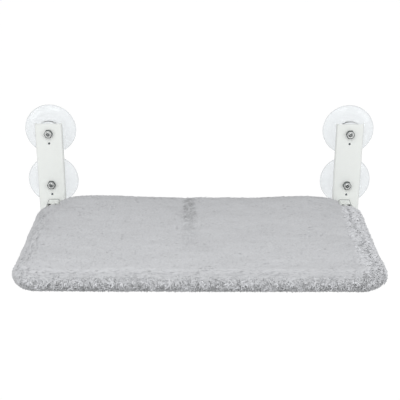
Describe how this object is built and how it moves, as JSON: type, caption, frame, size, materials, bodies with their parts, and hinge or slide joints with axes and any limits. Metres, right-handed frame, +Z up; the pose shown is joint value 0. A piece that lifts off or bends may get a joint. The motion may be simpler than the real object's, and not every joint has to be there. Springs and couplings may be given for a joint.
{
  "type": "window mounted cat perch",
  "caption": "Window perch for a cat: a plush covered bed on a tube frame, hinged to two steel plates that suction cups hold to the glass.",
  "frame": {"origin": "on the glass, in the middle of the four suction cups", "axes": "+X to the right as the perch is seen from the room, +Y into the glass, +Z up"},
  "size_m": [0.6035, 0.3425, 0.2007],
  "materials": {
    "powder_coat": "pale powder coat, satin",
    "zinc": "zinc plated",
    "clear_pvc": "clear soft plastic, glossy",
    "nylon": "natural nylon",
    "grey_plastic": "moulded, matte",
    "plush": "short grey plush",
    "canvas": "plain woven canvas",
    "elastic": "woven elastic"
  },
  "bodies": {
    "window_brackets": {"left_back_plate": "powder_coat", "left_hinge_bracket": "powder_coat", "left_bracket_rivets": "zinc", "upper_left_cup": "clear_pvc", "upper_left_stud": "zinc", "upper_left_nut": "zinc", "lower_left_cup": "clear_pvc", "lower_left_stud": "zinc", "lower_left_nut": "zinc", "right_back_plate": "powder_coat", "right_hinge_bracket": "powder_coat", "right_bracket_rivets": "zinc", "upper_right_cup": "clear_pvc", "upper_right_stud": "zinc", "upper_right_nut": "zinc", "lower_right_cup": "clear_pvc", "lower_right_stud": "zinc", "lower_right_nut": "zinc"},
    "bed": {"left_frame_tube": "powder_coat", "left_crossbar": "powder_coat", "left_pivot_bolt": "zinc", "left_crossbar_insert": "zinc", "left_pivot_washers": "nylon", "left_leg_plug": "grey_plastic", "right_frame_tube": "powder_coat", "right_crossbar": "powder_coat", "right_pivot_bolt": "zinc", "right_crossbar_insert": "zinc", "right_pivot_washers": "nylon", "right_leg_plug": "grey_plastic", "front_joint_spigot": "zinc", "rear_joint_spigot": "zinc", "front_joint_screws": "zinc", "rear_joint_screws": "zinc", "canvas_sling": "canvas", "hem_elastic": "elastic", "plush_cover": "plush"}
  },
  "joints": [
    {"name": "bed_fold", "type": "hinge", "parent": "window_brackets", "child": "bed", "pos_m": [0, -0.055, -0.0825], "axis": [-1, 0, 0], "range_deg": [0, 90]}
  ]
}
